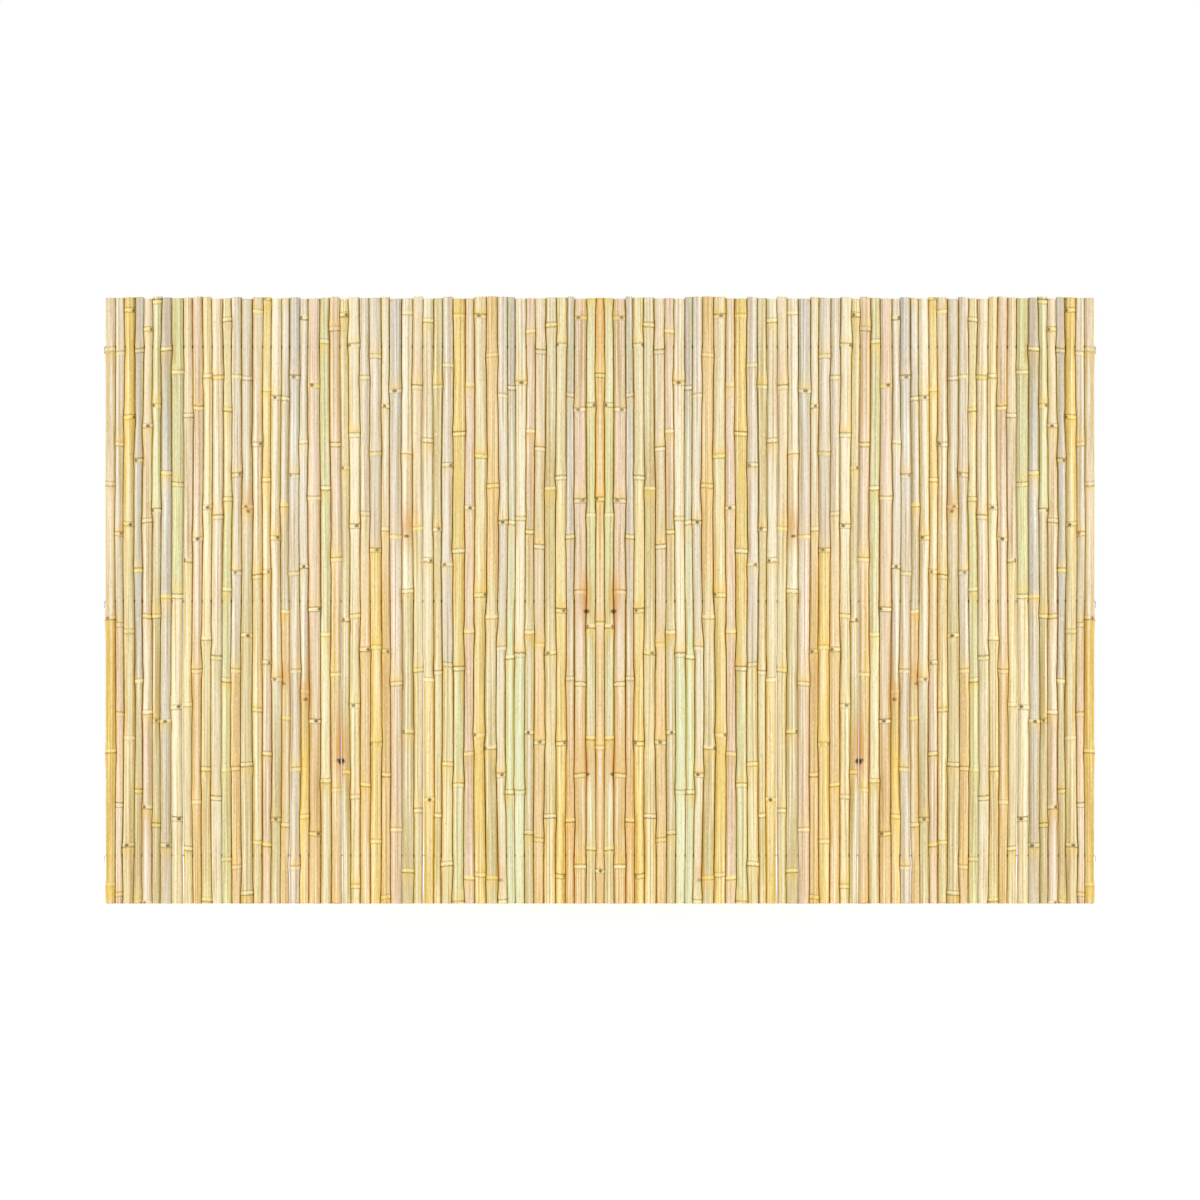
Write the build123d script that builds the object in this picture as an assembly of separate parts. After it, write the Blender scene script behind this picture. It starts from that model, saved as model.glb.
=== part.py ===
from build123d import *
import math
import os
import random

# Rolled bamboo fence, rolled out and standing plumb. Drilled canes stand side by side on
# three galvanised wires that run straight through them. X runs along the fence, Z is up,
# the front faces -Y and every cane is cut level at Z = 0. The two halves mirror each other
# about the centre cane, so a pair node holds a cane and its twin. Millimetres throughout.

# The row of canes
CANE_PAIRS = 49
CANE_LENGTH = 1486.0
TOP_STAGGER = 6.0  # the longest canes stand this much above the shortest
CANE_DIAMETER = 23.9  # mean of the row, across flats
DIAMETER_SPREAD = 4.6  # thickest and thinnest cane, either side of the mean
CANE_TAPER = 2.0  # loss of diameter from butt to tip
CANE_SIDES = 8  # flats of a cane, two of them facing its neighbours
CANE_CLEARANCE = 0.15  # narrowest gap between neighbours
GAP_SPREAD = 4.6  # widest gap over the narrowest
GAP_BIAS = 6  # power that makes most gaps narrow

# The growth nodes
NODE_SWELL = 1.0  # height of a node's ring above the front and back of the cane
NODE_STEP = 3.0  # length of the ledge on the tip side of the ring
NODE_MARGIN = 40.0  # least distance from a node to a wire
TWO_NODES_EVERY = 5  # one cane in so many has a second proud node

# The wires
WIRE_DIAMETER = 2.0
WIRE_SIDES = 8
WIRE_PLAY = 0.2  # between a wire and the walls of a cane's drilling
WIRE_INSET = 118.0  # from the ends of a cane to the outer wires
DRILLING_SIDES = 3
BEND_RADIUS = 3.0  # at the wire's centre line, where its end is turned down
BEND_FLATS = 3
TAIL_LENGTH = 14.0  # straight end below the bend

CHANCE_SEED = 21

WIRE_HEIGHTS = {
    "wire_bottom": WIRE_INSET,
    "wire_middle": CANE_LENGTH / 2,
    "wire_top": CANE_LENGTH - WIRE_INSET,
}


class Cane:
    """One cane: where it stands, how thick it is, and the heights of its proud nodes."""

    def __init__(self, foot_x, top_x, foot_diameter, top_diameter, length, nodes):
        self.foot_x = foot_x
        self.top_x = top_x
        self.foot_diameter = foot_diameter
        self.top_diameter = top_diameter
        self.length = length
        self.nodes = nodes

    def ring(self, height, swell=0.0):
        """The cane's corners at a height, set further out where a node swells."""
        share = height / CANE_LENGTH
        x = self.foot_x + share * (self.top_x - self.foot_x)
        diameter = self.foot_diameter + share * (self.top_diameter - self.foot_diameter)
        middle = Vector(x, 0, height)
        return [middle + corner for corner in corners(diameter / 2, CANE_SIDES, swell)]

    def solid(self, drillings):
        """The cane flares from its butt to each node and steps back in on the tip side."""
        butt_is_foot = self.foot_diameter > self.top_diameter
        rings = [self.ring(0)]
        for height in self.nodes:
            proud = self.ring(height, NODE_SWELL)
            if butt_is_foot:
                rings += [proud, self.ring(height + NODE_STEP)]
            else:
                rings += [self.ring(height - NODE_STEP), proud]
        rings.append(self.ring(self.length))
        return flat_faced(rings) - drillings

    def outer_edge(self, height):
        """How far out the cane reaches at a height, with its clearance."""
        return max(corner.X for corner in self.ring(height)) + CANE_CLEARANCE


def corners(radius, sides, swell=0.0):
    """Corners of a round section made of flats, with a flat towards +X.

    A swell moves the flats out, in full at the front and back and not at all along the row,
    where a node is pressed flush with the cane next to it.
    """
    step = math.tau / sides
    points = []
    for flat in range(sides):
        turn = flat * step
        here = radius + swell * abs(math.sin(turn))
        after = radius + swell * abs(math.sin(turn + step))
        along = (after - here * math.cos(step)) / math.sin(step)
        points.append(Vector(here, along).rotate(Axis.Z, math.degrees(turn)))
    return points


def flat_sided(radius, sides):
    """A round section made of flats, as a face."""
    return make_face(Polyline(*corners(radius, sides), close=True))


def flat_faced(rings):
    """The solid through rings of corners that lie one above the other."""
    faces = [Face(Wire.make_polygon(ring)) for ring in (rings[0], rings[-1])]
    for low, high in zip(rings, rings[1:]):
        for corner in range(len(low)):
            flat = [low[corner - 1], low[corner], high[corner], high[corner - 1]]
            faces.append(Face(Wire.make_polygon(flat)))
    return Solid(Shell(faces))


def node_heights(chance, low, high, count):
    """Heights of the nodes in a bay between two wires, one in each equal stretch of it."""
    stretch = (high - low) / count
    floors = [low + stretch * step for step in range(count)]
    return [chance.uniform(floor + NODE_MARGIN, floor + stretch - NODE_MARGIN) for floor in floors]


def lay_out_canes():
    """The centre cane and the canes on its +X side, each set against the one before it.

    Butts and tips take turns at the foot. A cane's proud nodes are in the bay on its butt's
    side of the middle wire, so that they never meet those of its neighbours. A gap is as wide
    at the top as the next one is at the foot, so that canes lean but the row stays plumb.
    """
    chance = random.Random(CHANCE_SEED)
    gaps = [CANE_CLEARANCE + GAP_SPREAD * chance.random() ** GAP_BIAS for _ in range(CANE_PAIRS + 2)]
    bottom, middle, top = WIRE_HEIGHTS.values()
    foot_edge = top_edge = None
    canes = []
    for number in range(CANE_PAIRS + 1):
        diameter = CANE_DIAMETER + DIAMETER_SPREAD * chance.uniform(-1, 1)
        taper = CANE_TAPER if number % 2 else -CANE_TAPER
        foot_diameter = diameter + taper / 2
        top_diameter = diameter - taper / 2
        bay = (bottom, middle) if number % 2 else (middle, top)
        nodes = node_heights(chance, *bay, count=1 if number % TWO_NODES_EVERY else 2)
        length = CANE_LENGTH + TOP_STAGGER * chance.random()
        foot_x = 0 if number == 0 else foot_edge + gaps[number] + foot_diameter / 2
        top_x = 0 if number == 0 else top_edge + gaps[number + 1] + top_diameter / 2
        canes.append(Cane(foot_x, top_x, foot_diameter, top_diameter, length, nodes))
        foot_edge = foot_x + foot_diameter / 2
        top_edge = top_x + top_diameter / 2
    return canes


def drilling(height, reach):
    """A flat-sided bar along X that cuts one wire's holes through the canes."""
    outline = flat_sided(WIRE_DIAMETER / 2 + WIRE_PLAY, DRILLING_SIDES)
    return extrude(Plane.YZ.offset(-reach) * Pos(0, height) * outline, 2 * reach)


def wire(height, end_cane):
    """A straight wire with both ends turned down outside the end canes."""
    centre_x = end_cane.outer_edge(height)
    centre_z = height - BEND_RADIUS
    right_end = [(centre_x + BEND_RADIUS, 0, centre_z - TAIL_LENGTH)]
    for step in range(BEND_FLATS + 1):
        angle = math.pi / 2 * step / BEND_FLATS
        x = centre_x + BEND_RADIUS * math.cos(angle)
        z = centre_z + BEND_RADIUS * math.sin(angle)
        right_end.append((x, 0, z))
    left_end = [(-x, y, z) for x, y, z in reversed(right_end)]
    path = Polyline(*right_end, *left_end)
    outline = Plane(origin=path @ 0, z_dir=path % 0) * flat_sided(WIRE_DIAMETER / 2, WIRE_SIDES)
    return sweep(outline, path, transition=Transition.RIGHT)


def save(name, *solids):
    """Write one node of the fence."""
    export_step(Compound(children=list(solids), label=name), f"parts/{name}.step")


os.makedirs("parts", exist_ok=True)
centre, *side = lay_out_canes()
reach = side[-1].outer_edge(0) + CANE_DIAMETER
drillings = [drilling(height, reach) for height in WIRE_HEIGHTS.values()]

save("centre_cane", centre.solid(drillings))
for number, cane in enumerate(side, start=1):
    right = cane.solid(drillings)
    save(f"cane_pair_{number:02d}", right, mirror(right, about=Plane.YZ))
for name, height in WIRE_HEIGHTS.items():
    save(name, wire(height, side[-1]))
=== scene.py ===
# %% [markdown]
# # A rolled bamboo fence
#
# The real fence is a row of about a hundred bamboo canes. Each cane is drilled through its sides
# in three places and threaded on three galvanised wires, so that the row can be rolled up. Here
# it is rolled out and stands plumb, as it would between two posts.
#
# The frame from the CAD model says where each cane and wire is. This lesson dresses it: it makes
# round canes with growth nodes and hollow cut ends in Geometry Nodes, gives them a bamboo skin,
# and sets up a plain white studio.

# %% Load the frame
import bpy
import math
import mathutils
import random
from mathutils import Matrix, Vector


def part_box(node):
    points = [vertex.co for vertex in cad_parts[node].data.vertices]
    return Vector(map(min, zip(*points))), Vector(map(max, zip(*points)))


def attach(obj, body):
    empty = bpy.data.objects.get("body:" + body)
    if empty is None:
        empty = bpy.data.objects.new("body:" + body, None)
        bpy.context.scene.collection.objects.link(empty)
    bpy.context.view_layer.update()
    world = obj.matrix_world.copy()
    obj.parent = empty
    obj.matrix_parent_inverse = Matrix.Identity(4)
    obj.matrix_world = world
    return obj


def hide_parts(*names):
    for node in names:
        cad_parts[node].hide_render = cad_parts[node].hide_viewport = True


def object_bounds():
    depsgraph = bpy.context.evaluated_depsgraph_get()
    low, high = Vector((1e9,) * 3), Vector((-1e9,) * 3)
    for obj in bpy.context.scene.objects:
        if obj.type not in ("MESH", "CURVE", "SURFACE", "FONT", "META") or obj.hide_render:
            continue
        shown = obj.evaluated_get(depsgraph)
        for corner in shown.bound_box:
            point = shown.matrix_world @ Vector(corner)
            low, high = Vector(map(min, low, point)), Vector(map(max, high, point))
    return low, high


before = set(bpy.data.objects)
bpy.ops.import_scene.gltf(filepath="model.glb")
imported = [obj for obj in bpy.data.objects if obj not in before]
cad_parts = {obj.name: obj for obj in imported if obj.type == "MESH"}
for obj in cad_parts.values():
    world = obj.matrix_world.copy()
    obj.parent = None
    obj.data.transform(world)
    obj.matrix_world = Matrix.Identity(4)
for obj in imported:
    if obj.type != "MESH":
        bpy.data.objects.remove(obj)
cad_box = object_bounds()
scene = bpy.context.scene
scene.view_settings.view_transform = "Standard"
print("nodes in the frame:", len(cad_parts))

# %% [markdown]
# ## Formulas as nodes
#
# A cane follows a rule, so its node tree is mostly arithmetic. Placing a Math node for each plus
# and times by hand hides the rule. A small class that turns Python's operators into Math nodes
# keeps each formula readable, and it works in geometry trees and in shader trees alike.

# %% A socket that takes part in formulas
class Term:
    """An output socket that can be added, multiplied and compared like a number."""

    def __init__(self, tree, socket):
        self.tree = tree
        self.socket = socket

    def apply(self, operation, *others):
        node = self.tree.nodes.new("ShaderNodeMath")
        node.operation = operation
        for slot, value in zip(node.inputs, (self, *others)):
            feed(slot, value)
        return Term(self.tree, node.outputs[0])

    def __add__(self, other):
        return self.apply("ADD", other)

    def __sub__(self, other):
        return self.apply("SUBTRACT", other)

    def __mul__(self, other):
        return self.apply("MULTIPLY", other)

    def __truediv__(self, other):
        return self.apply("DIVIDE", other)

    def __lt__(self, other):
        return self.apply("LESS_THAN", other)

    def __gt__(self, other):
        return self.apply("GREATER_THAN", other)

    def __abs__(self):
        return self.apply("ABSOLUTE")

    def between(self, low, high):
        return self.apply("MAXIMUM", low).apply("MINIMUM", high)


def feed(slot, value):
    """Link a term or a list of terms to an input, or set the input to a plain value."""
    if isinstance(value, Term):
        value.tree.links.new(value.socket, slot)
    elif isinstance(value, list):
        for term in value:
            feed(slot, term)
    else:
        slot.default_value = value


def add(tree, kind, inputs=None, out=0, **settings):
    """Place a node, set its properties and inputs, and return one of its outputs as a term."""
    node = tree.nodes.new(kind)
    for name, value in settings.items():
        setattr(node, name, value)
    for name, value in (inputs or {}).items():
        feed(node.inputs[name], value)
    return Term(tree, node.outputs[out])


def blend(tree, share, first, second, kind="FLOAT", mode="MIX"):
    """Mix two numbers or two colours."""
    ending = {"FLOAT": "Float", "RGBA": "Color"}[kind]
    node = tree.nodes.new("ShaderNodeMix")
    node.data_type = kind
    node.blend_type = mode
    sockets = {slot.identifier: slot for slot in node.inputs}
    feed(sockets["Factor_Float"], share)
    feed(sockets["A_" + ending], first)
    feed(sockets["B_" + ending], second)
    out = next(slot for slot in node.outputs if slot.identifier == "Result_" + ending)
    return Term(tree, out)


print("formula helpers ready")

# %% [markdown]
# A geometry tree is a recipe with named inputs. It runs once for each cane, with that cane's own
# numbers, and the result is copied out as a plain mesh. Then the modifier can go, and nothing
# depends on it any more.

# %% A tree with named inputs
SHARP_CORNER = math.radians(40)


def start_tree(name, inputs):
    """A geometry tree with named inputs, and a dictionary of them as terms."""
    tree = bpy.data.node_groups.new(name, "GeometryNodeTree")
    tree.interface.new_socket("Geometry", in_out="OUTPUT", socket_type="NodeSocketGeometry")
    for title, kind in inputs.items():
        tree.interface.new_socket(title, in_out="INPUT", socket_type="NodeSocket" + kind)
    source = tree.nodes.new("NodeGroupInput")
    return tree, {title: Term(tree, source.outputs[title]) for title in inputs}


def end_tree(tree, geometry):
    """Join the last geometry to the tree's output."""
    sink = tree.nodes.new("NodeGroupOutput")
    feed(sink.inputs["Geometry"], geometry)


def run_tree(name, tree, values):
    """Run a tree once with these inputs, and return its result as an object with a plain mesh."""
    carrier = bpy.data.objects.new(name + "_carrier", bpy.data.meshes.new(name + "_empty"))
    scene.collection.objects.link(carrier)
    modifier = carrier.modifiers.new("tree", "NODES")
    modifier.node_group = tree
    sockets = [item for item in tree.interface.items_tree if item.in_out == "INPUT"]
    for item in sockets:
        modifier[item.identifier] = values[item.name]
    evaluated = carrier.evaluated_get(bpy.context.evaluated_depsgraph_get())
    mesh = bpy.data.meshes.new_from_object(evaluated)
    mesh.name = name
    mesh.set_sharp_from_angle(angle=SHARP_CORNER)
    carrier.modifiers.remove(modifier)
    bpy.data.objects.remove(carrier)
    piece = bpy.data.objects.new(name, mesh)
    scene.collection.objects.link(piece)
    return piece


print("tree helpers ready")

# %% [markdown]
# ## Where each cane stands
#
# The CAD canes are eight-sided, with a flat towards each neighbour, and they already lean, taper
# and carry their proudest nodes. Their corners lie in rings: one at the foot, two at each proud
# node and one at the top. Reading those rings back gives every size that the round cane needs,
# so the two models cannot drift apart. Points close to the middle plane belong to the drillings
# for the wires and are passed over.

# %% Read a cane's rings from its node
DRILLING_REACH = 0.003


def cane_rings(node):
    """Height, middle and half width of each ring of the cane on the +X side of a node."""
    points = [vertex.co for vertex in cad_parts[node].data.vertices]
    one_cane = node == "centre_cane"
    rings = {}
    for x, y, z in points:
        if abs(y) > DRILLING_REACH and (x > 0 or one_cane):
            rings.setdefault(round(z, 5), []).append(x)
    return [(z, (min(xs) + max(xs)) / 2, (max(xs) - min(xs)) / 2) for z, xs in sorted(rings.items())]


cane_nodes = ["centre_cane"] + sorted(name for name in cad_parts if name.startswith("cane_pair"))
rings_of = {node: cane_rings(node) for node in cane_nodes}
print("canes read:", len(rings_of), "rings in the first:", rings_of["centre_cane"])

# %% [markdown]
# ## The growth nodes of a cane
#
# A bamboo culm is a string of hollow internodes parted by nodes. The CAD model has only the
# proudest one or two of each cane. The others stand at an even spacing above and below these,
# and it differs from cane to cane. A cane also has a direction: it flares towards a node from
# its butt, and steps back in on the tip side. Canes are laid tip to butt by turns, so the
# direction is read from which way the CAD cane tapers.

# %% Work out each cane's nodes
GROWTH_SEED = 4
INTERNODES = (0.215, 0.36)
MOST_BOW = 0.0012
MOST_SWELL = 0.0016
SWELL_SHARE = 0.75
ROOM_TO_SPARE = 0.0001
half_depth = cad_box[1][1]


def cane_growth(rings, chance):
    """Sizes of one cane, with the first node and the spacing that pass through its proud nodes."""
    (_, foot_x, foot_radius), *steps, (length, top_x, top_radius) = rings
    tip = 1.0 if foot_radius > top_radius else -1.0
    pairs = zip(steps[0::2], steps[1::2])
    proud = [low[0] if tip > 0 else high[0] for low, high in pairs]
    spacing = chance.uniform(*INTERNODES)
    if len(proud) == 2:
        apart = proud[1] - proud[0]
        spacing = apart / max(1, round(apart / spacing))
    below = math.ceil(proud[0] / spacing + 0.5)
    first = proud[0] - below * spacing
    count = math.ceil((length - first) / spacing + 0.5) + 1
    room = half_depth - max(foot_radius, top_radius) - ROOM_TO_SPARE
    swell = min(MOST_SWELL, SWELL_SHARE * room)
    bow = chance.uniform(-1, 1) * min(room - swell, MOST_BOW)
    return {
        "Foot X": foot_x,
        "Lean": (top_x - foot_x) / length,
        "Foot Radius": foot_radius,
        "Taper": (top_radius - foot_radius) / length,
        "Length": length,
        "Tip": tip,
        "First Node": first,
        "Internode": spacing,
        "Nodes": count,
        "Proud Low": proud[0],
        "Proud High": proud[-1],
        "Swell": swell,
        "Bow": bow,
    }


growth_chance = random.Random(GROWTH_SEED)
growth_of = {node: cane_growth(rings_of[node], growth_chance) for node in cane_nodes}
spacings = sorted(sizes["Internode"] for sizes in growth_of.values())
print(f"internodes from {spacings[0]:.3f} to {spacings[-1]:.3f} m")

# %% [markdown]
# ## Shoulder to shoulder
#
# The CAD canes keep a clearance, but in the row hardly any light shows between one cane and the
# next. So each clearance is shared out between its two canes, and they touch along a line. Only
# the widest gaps stay a little open towards the foot. A node stands out sideways as well and
# dents its neighbour, so a cane has to know the nodes of both neighbours. The same numbers go to
# both canes at a line, and so the line comes out the same from either side.

# %% Where neighbours touch
MOST_GIVE = 0.0006
NOBODY = {"First Node": -500.0, "Internode": 1000.0, "Tip": 1.0, "Seed": 0}


def edge_line(sizes, side):
    """Foot and slope of a cane's edge on one side along the row."""
    foot = sizes["Foot X"] + side * sizes["Foot Radius"]
    return foot, sizes["Lean"] + side * sizes["Taper"]


def touch_lines(inner, outer):
    """Foot and slope of the inner cane's edge and of the outer one's, closed up at the top."""
    inner_foot, inner_slope = edge_line(inner, 1)
    outer_foot, outer_slope = edge_line(outer, -1)
    top = inner["Length"]
    top_x = (inner_foot + outer_foot + (inner_slope + outer_slope) * top) / 2
    give = min((outer_foot - inner_foot) / 2, MOST_GIVE)
    feet = (inner_foot + give, outer_foot - give)
    return [(foot, (top_x - foot) / top) for foot in feet]


row_of_canes = [growth_of[node] for node in cane_nodes]
row_end = edge_line(row_of_canes[-1], 1)[0]
for number, sizes in enumerate(row_of_canes):
    sizes["Seed"] = number
    sizes["Right Foot"], sizes["Right Lean"] = edge_line(sizes, 1)
open_feet = 0
for inner, outer in zip(row_of_canes, row_of_canes[1:]):
    inner_line, outer_line = touch_lines(inner, outer)
    inner["Right Foot"], inner["Right Lean"] = inner_line
    outer["Left Foot"], outer["Left Lean"] = outer_line
    open_feet += outer_line[0] - inner_line[0] > MOST_GIVE
centre = row_of_canes[0]
centre["Left Foot"] = -centre["Right Foot"]
centre["Left Lean"] = -centre["Right Lean"]
for number, sizes in enumerate(row_of_canes):
    inner = row_of_canes[abs(number - 1)]
    outer = row_of_canes[number + 1] if number + 1 < len(row_of_canes) else NOBODY
    for title in NOBODY:
        sizes["Left " + title] = inner[title]
        sizes["Right " + title] = outer[title]
print(f"the row ends at {row_end:.4f} m, and gaps left open at the foot:", open_feet)

# %% [markdown]
# ## Cane shape, ring by ring
#
# A cane could be lathed with the Screw modifier, but then every one would need its own profile
# drawn. Instead one node tree bends a flat grid round into a cane. Each row of the grid is a
# ring. The first and last few rows make the hollow cut ends, and the rows between are crowded
# around the nodes, where the shape changes fast, and spread out along the internodes. Rows that
# fall past an end are held at the end, and Merge by Distance then closes them up, together with
# the seam at the back and the two middles.

# %% Sizes of a cane's surface, in metres
SIDES = 20
RINGS_PER_NODE = 39
NEAR_ROWS = 0.42
NEAR_REACH = 0.010
END_SHARES = (0.0, 0.50, 0.56, 0.58, 0.62, 0.95)
END_DEPTHS = (0.021, 0.0195, 0.017, 0.0010, 0.0, 0.0)
END_CHAMFER = 0.0006
FLUSH_SHARE = 0.7
NODE_REACH = 0.06
FLARE_LENGTH = 0.010
LEDGE_LENGTH = 0.0022
RIDGE_HEIGHT = 0.0006
RIDGE_PLACE = 0.0055
RIDGE_LENGTH = 0.0030
GROOVE_DEPTH = 0.0003
OUT_OF_ROUND = 0.009
RING_SLANT = 0.0013
FLARE_WIDTH = 0.0022
BUTT_FLARE = 0.030
TIP_FLARE = 0.018
TOUCH = 0.0001
WANDERS = ((3, 0.0018, 1.9, 0.4), (7, 0.0015, 1.1, 2.1), (12, 0.0010, 0.8, 4.0))
WIRE_NAMES = ("wire_bottom", "wire_middle", "wire_top")
WIRE_RADIUS = 0.001
wire_heights = [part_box(name)[1][2] - WIRE_RADIUS for name in WIRE_NAMES]
print("wires at", [round(height, 4) for height in wire_heights])

# %% Start the cane tree
cane_inputs = {}
for title in growth_of["centre_cane"]:
    cane_inputs[title] = "Int" if title.endswith(("Nodes", "Seed")) else "Float"
cane_inputs |= {"Twin": "Bool", "Change Height": "Float", "Change Length": "Float"}
cane_inputs |= {"Lower Tone": "Color", "Upper Tone": "Color", "Skin": "Material", "Cut": "Material"}
cane_tree, cane = start_tree("Bamboo cane", cane_inputs)
end_rows = len(END_SHARES)
columns = SIDES + 1
rows = cane["Nodes"] * RINGS_PER_NODE + 2 * end_rows
grid = add(cane_tree, "GeometryNodeMeshGrid", {"Vertices X": rows, "Vertices Y": columns}, "Mesh")
index = add(cane_tree, "GeometryNodeInputIndex")
row = ((index + 0.5) / columns).apply("FLOOR")
column = index - row * columns
print("inputs of the cane tree:", ", ".join(cane_inputs))

# %% Height of a row
def pick(tree, number, values):
    """The value of a list at a whole number."""
    node = tree.nodes.new("GeometryNodeIndexSwitch")
    node.data_type = "FLOAT"
    while len(node.index_switch_items) < len(values):
        node.index_switch_items.new()
    feed(node.inputs["Index"], number)
    for place, value in enumerate(values):
        node.inputs[place + 1].default_value = value
    return Term(tree, node.outputs[0])


from_top = rows - 1 - row
end_row = row.apply("MINIMUM", from_top)
in_body = end_row > end_rows - 0.5
at_foot = row < from_top
body_row = row - end_rows
segment = ((body_row + 0.5) / RINGS_PER_NODE).apply("FLOOR")
sweep = (body_row - segment * RINGS_PER_NODE) * (2 / (RINGS_PER_NODE - 1)) - 1
far_share = (abs(sweep) - NEAR_ROWS) / (1 - NEAR_ROWS)
far_row = far_share * (cane["Internode"] * 0.5 - NEAR_REACH) + NEAR_REACH
near_row = abs(sweep) * (NEAR_REACH / NEAR_ROWS)
from_node = near_row.apply("MAXIMUM", far_row) * sweep.apply("SIGN")
free_height = cane["First Node"] + cane["Internode"] * segment + from_node
highest = cane["Length"] - END_CHAMFER
body_height = free_height.apply("MAXIMUM", END_CHAMFER).apply("MINIMUM", highest)
depth = pick(cane_tree, end_row, END_DEPTHS)
end_height = blend(cane_tree, at_foot, cane["Length"] - depth, depth)
height = blend(cane_tree, in_body, end_height, body_height)
print("rows at an end:", end_rows, "rows at a node:", RINGS_PER_NODE)

# %% Distance to the nearest node
def chance_term(tree, low, high, seed, salt):
    """A random number for the whole cane, or for each of its nodes."""
    node = tree.nodes.new("FunctionNodeRandomValue")
    node.data_type = "FLOAT"
    sockets = {slot.identifier: slot for slot in node.inputs}
    sockets["Min_001"].default_value = low
    sockets["Max_001"].default_value = high
    if not isinstance(salt, Term):
        salt = add(tree, "FunctionNodeInputInt", integer=salt)
    feed(sockets["ID"], salt)
    feed(sockets["Seed"], seed)
    return Term(tree, next(slot for slot in node.outputs if slot.identifier == "Value_001"))


angle = (column / -SIDES + 0.5) * math.tau
climbed = (height - cane["First Node"]) / cane["Internode"]
nearest = climbed.apply("ROUND")
slant_turn = chance_term(cane_tree, 0.0, math.tau, cane["Seed"], nearest)
slant = (angle + slant_turn).apply("COSINE") * RING_SLANT
offset = (climbed - nearest) * cane["Internode"] + slant
past_node = offset * cane["Tip"]
near_low = abs(height - cane["Proud Low"]) < NODE_REACH
near_high = abs(height - cane["Proud High"]) < NODE_REACH
is_proud = near_low.apply("MAXIMUM", near_high)
print("node distance is signed, with the tip side positive")

# %% [markdown]
# A node has three parts: a flare that rises towards it from the butt, the sheath scar with a
# small ledge on its tip side, and above a fine groove the rounded ridge where the branch buds
# sit. Each is a bell or an exponential of the distance to the node, so the profile is a sum.

# %% Radius of a row
def bell(place, width, distance):
    """A smooth bump around a place."""
    share = (distance - place) / width
    return (share * share * -1.0).apply("EXPONENT")


on_tip_side = past_node > 0.0
fade_length = blend(cane_tree, on_tip_side, FLARE_LENGTH, LEDGE_LENGTH)
fade = (abs(past_node) / fade_length * -1.0).apply("EXPONENT")
swell = cane["Swell"] * blend(cane_tree, is_proud, FLUSH_SHARE, 1.0)
ridge = bell(RIDGE_PLACE, RIDGE_LENGTH, past_node) * RIDGE_HEIGHT
groove = bell(RIDGE_PLACE / 2, RIDGE_LENGTH / 2, past_node) * GROOVE_DEPTH
node_rise = swell * fade + ridge - groove
plain_radius = cane["Foot Radius"] + cane["Taper"] * height
end_share = pick(cane_tree, end_row, END_SHARES)
print(f"a proud node stands up to {MOST_SWELL * 1000:.1f} mm out")

# %% [markdown]
# No culm is quite straight or round. Each cane gets a slight bow to the front or back and a
# section that is a little oval. Its two sides follow the lines that it shares with its
# neighbours: a line strays slowly to either side as it climbs, swings out round the nodes of
# one cane and back round those of the other.

# %% Sides of a cane
def node_flare(whose):
    """How far a cane stands out sideways near its nodes, as a share of the widest flare."""
    passed = (height - cane[whose + "First Node"]) / cane[whose + "Internode"]
    number = passed.apply("ROUND")
    past = (passed - number) * cane[whose + "Internode"] * cane[whose + "Tip"]
    share = past / blend(cane_tree, past > 0.0, BUTT_FLARE, TIP_FLARE)
    chance = chance_term(cane_tree, 0.2, 1.0, cane[whose + "Seed"], number)
    return (share * share * -1.0).apply("EXPONENT") * chance


def wander(line):
    """How far a line between two canes strays sideways at a height."""
    total = line * 0.0
    for waves, width, length, start in WANDERS:
        along = (line * (math.pi * waves / row_end)).apply("SINE")
        upward = (height * (math.tau / length) + start).apply("SINE")
        total = total + along * upward * width
    return total


own_flare = node_flare("")
left_line = cane["Left Foot"] + cane["Left Lean"] * height
right_line = cane["Right Foot"] + cane["Right Lean"] * height
left_swing = (node_flare("Left ") - own_flare) * FLARE_WIDTH
right_swing = (own_flare - node_flare("Right ")) * FLARE_WIDTH
left_side = left_line + wander(left_line) + left_swing - TOUCH
right_side = right_line + wander(right_line) + right_swing + TOUCH
print(f"a node stands out sideways by up to {FLARE_WIDTH * 1000:.1f} mm")

# %% Bend the grid round the cane
sideways = angle.apply("SINE")
raised = node_rise * (sideways * sideways * -1.0 + 1.0)
half_width = (right_side - left_side) * 0.5
across = blend(cane_tree, in_body, half_width * end_share, half_width + raised)
through = blend(cane_tree, in_body, plain_radius * end_share, plain_radius + raised)
oval_turn = chance_term(cane_tree, 0.0, math.tau, cane["Seed"], 1)
oval = (angle * 2 + oval_turn).apply("COSINE") * OUT_OF_ROUND + (1 - OUT_OF_ROUND)
arch = (height / cane["Length"] * math.pi).apply("SINE")
place_x = (left_side + right_side) * 0.5 + sideways * across
place_y = arch * cane["Bow"] - angle.apply("COSINE") * through * oval
place = add(cane_tree, "ShaderNodeCombineXYZ", {"X": place_x, "Y": place_y, "Z": height})
bent = add(cane_tree, "GeometryNodeSetPosition", {"Geometry": grid, "Position": place})
print("the section is oval by", OUT_OF_ROUND)

# %% [markdown]
# ## What the skin needs to know
#
# The skin's pattern follows growth: rings of colour at the nodes, and a tone that often changes
# from one internode to the next. The tree stores what only it knows as attributes on the mesh.
# Growth counts the nodes passed on the way to the tip, so a whole number is a node. Tone is the
# cane's own colour, and the UV map runs round the cane, with its seam at the back.

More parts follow.
